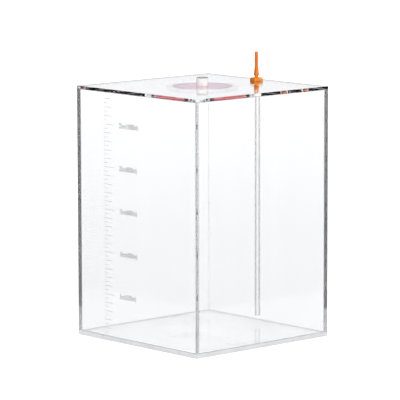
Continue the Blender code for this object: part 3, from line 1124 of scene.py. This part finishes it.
thread_foot = SHANK_FOOT + EASE
thread_rows = round((FLANGE_FOOT - thread_foot) / THREAD_PITCH * THREAD_STEPS)
connector_profile = [
    (BORE_RADIUS, body_low.z),
    (STUB_RADIUS - EASE, body_low.z),
    (STUB_RADIUS, body_low.z + EASE),
    (STUB_RADIUS, SHANK_FOOT),
    (SHANK_RADIUS - THREAD_DEPTH - EASE, SHANK_FOOT),
]
connector_profile += [(threaded(z), z) for z in evenly(thread_foot, FLANGE_FOOT, thread_rows)]
connector_profile += hexagon_side(FLANGE_FOOT, FLANGE_TOP)
connector_profile += [
    (parted(NECK_RADIUS + EASE), FLANGE_TOP),
    (parted(NECK_RADIUS), FLANGE_TOP + EASE),
    (parted(NECK_RADIUS), barb_foot),
    (parted(BARB_RADIUS - EASE / 2), barb_edge - EASE / 2),
    (parted(BARB_RADIUS), barb_edge + EASE / 2),
    (parted(BARB_RADIUS), taper_foot),
    (parted((BARB_RADIUS + SPIGOT_RADIUS) / 2), (taper_foot + taper_head) / 2),
    (parted(SPIGOT_RADIUS + EASE / 5), taper_head - EASE * 3),
    (parted(SPIGOT_RADIUS), taper_head + EASE * 3),
    (parted(SPIGOT_RADIUS), body_high.z - EASE),
    (SPIGOT_RADIUS - EASE, body_high.z),
    (BORE_RADIUS + EASE / 2, body_high.z),
    (BORE_RADIUS, body_high.z - EASE / 2),
]
hose_connector = turned_piece("hose_connector", CONNECTOR, connector_profile, [orange_plastic])
settle(hose_connector, "tank", "orange_connector", "connector_body")

# ---------------------------------------------------------------------------------------
# Sealing washer: thin translucent silicone that takes on the nut's orange, squeezed between
# the lid and the nut so that its rim bulges a little.
SILICONE = (0.55, 0.16, 0.04)
SILICONE_WORN_AND_LIT = (0.62, 0.22, 0.07)
SILICONE_GLOSS = 0.45
SILICONE_GRAIN = 1500.0
SILICONE_RELIEF = 0.00005
WASHER_BULGE = 0.0002

washer_low, washer_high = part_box("connector_washer")
WASHER_RADIUS = (washer_high.x - washer_low.x) / 2
washer_middle = (washer_low.z + washer_high.z) / 2
soft_silicone, _ = moulded_plastic(
    "soft_silicone", SILICONE, SILICONE_WORN_AND_LIT, SILICONE_GLOSS, SILICONE_GRAIN, SILICONE_RELIEF,
    {"Subsurface Weight": 0.2, "Subsurface Scale": 0.001},
)
sealing_washer = turned_piece(
    "sealing_washer",
    CONNECTOR,
    [
        (SHANK_HOLE_RADIUS, nut_high.z),
        (WASHER_RADIUS - WASHER_BULGE, nut_high.z),
        (WASHER_RADIUS, washer_middle),
        (WASHER_RADIUS - WASHER_BULGE, WALL_HEAD),
        (SHANK_HOLE_RADIUS, WALL_HEAD),
    ],
    [soft_silicone],
)
settle(sealing_washer, "tank", "soft_washer", "connector_washer")

# ---------------------------------------------------------------------------------------
# Clamping nut: an orange hexagon nut on the shank's thread, which pulls the flange and the
# washer tight against the lid.
NUT_FIT = 0.0002

nut_rows = round((nut_high.z - nut_low.z) / THREAD_PITCH * THREAD_STEPS)
nut_profile = hexagon_side(nut_low.z, nut_high.z)
nut_profile += [(threaded(z, NUT_FIT), z) for z in evenly(nut_high.z, nut_low.z, nut_rows)]
clamping_nut = turned_piece("clamping_nut", CONNECTOR, nut_profile, [orange_plastic])
settle(clamping_nut, "tank", "orange_connector", "connector_nut")

# ---------------------------------------------------------------------------------------
# Dip tube: extruded clear acrylic, sawn square, pushed on the connector's stub and ending
# a little above the floor.
TUBE_WALL = 0.0010
TUBE_END_EASE = 0.00012
TUBE_TINT = (0.985, 0.985, 0.99)
TUBE_ROUGHNESS = 0.03
TUBE_FILM = 0.004
TUBE_SMUDGES = 60.0
TUBE_LIMB_SHADE = (0.08, 0.08, 0.085)
TUBE_LIMB_START = 0.22
TUBE_LIMB_FULL = 0.60

tube_low, tube_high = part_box("dip_tube")
TUBE_RADIUS = (tube_high.x - tube_low.x) / 2
TUBE_BORE = TUBE_RADIUS - TUBE_WALL
tube_acrylic = polished_acrylic("tube_acrylic", TUBE_TINT, TUBE_ROUGHNESS, TUBE_FILM, TUBE_SMUDGES)
# Painted shade on the tube's turned-away sides.
paint_limb_shade(tube_acrylic, TUBE_TINT, TUBE_LIMB_SHADE, TUBE_LIMB_START, TUBE_LIMB_FULL)
feed_tube = turned_piece(
    "feed_tube",
    CONNECTOR,
    [
        (TUBE_BORE + TUBE_END_EASE, tube_low.z),
        (TUBE_RADIUS - TUBE_END_EASE, tube_low.z),
        (TUBE_RADIUS, tube_low.z + TUBE_END_EASE),
        (TUBE_RADIUS, SHANK_FOOT - TUBE_END_EASE),
        (TUBE_RADIUS - TUBE_END_EASE, SHANK_FOOT),
        (TUBE_BORE + TUBE_END_EASE, SHANK_FOOT),
        (TUBE_BORE, SHANK_FOOT - TUBE_END_EASE),
        (TUBE_BORE, tube_low.z + TUBE_END_EASE),
    ],
    [tube_acrylic],
)
settle(feed_tube, "tank", "clear_tube", "dip_tube")
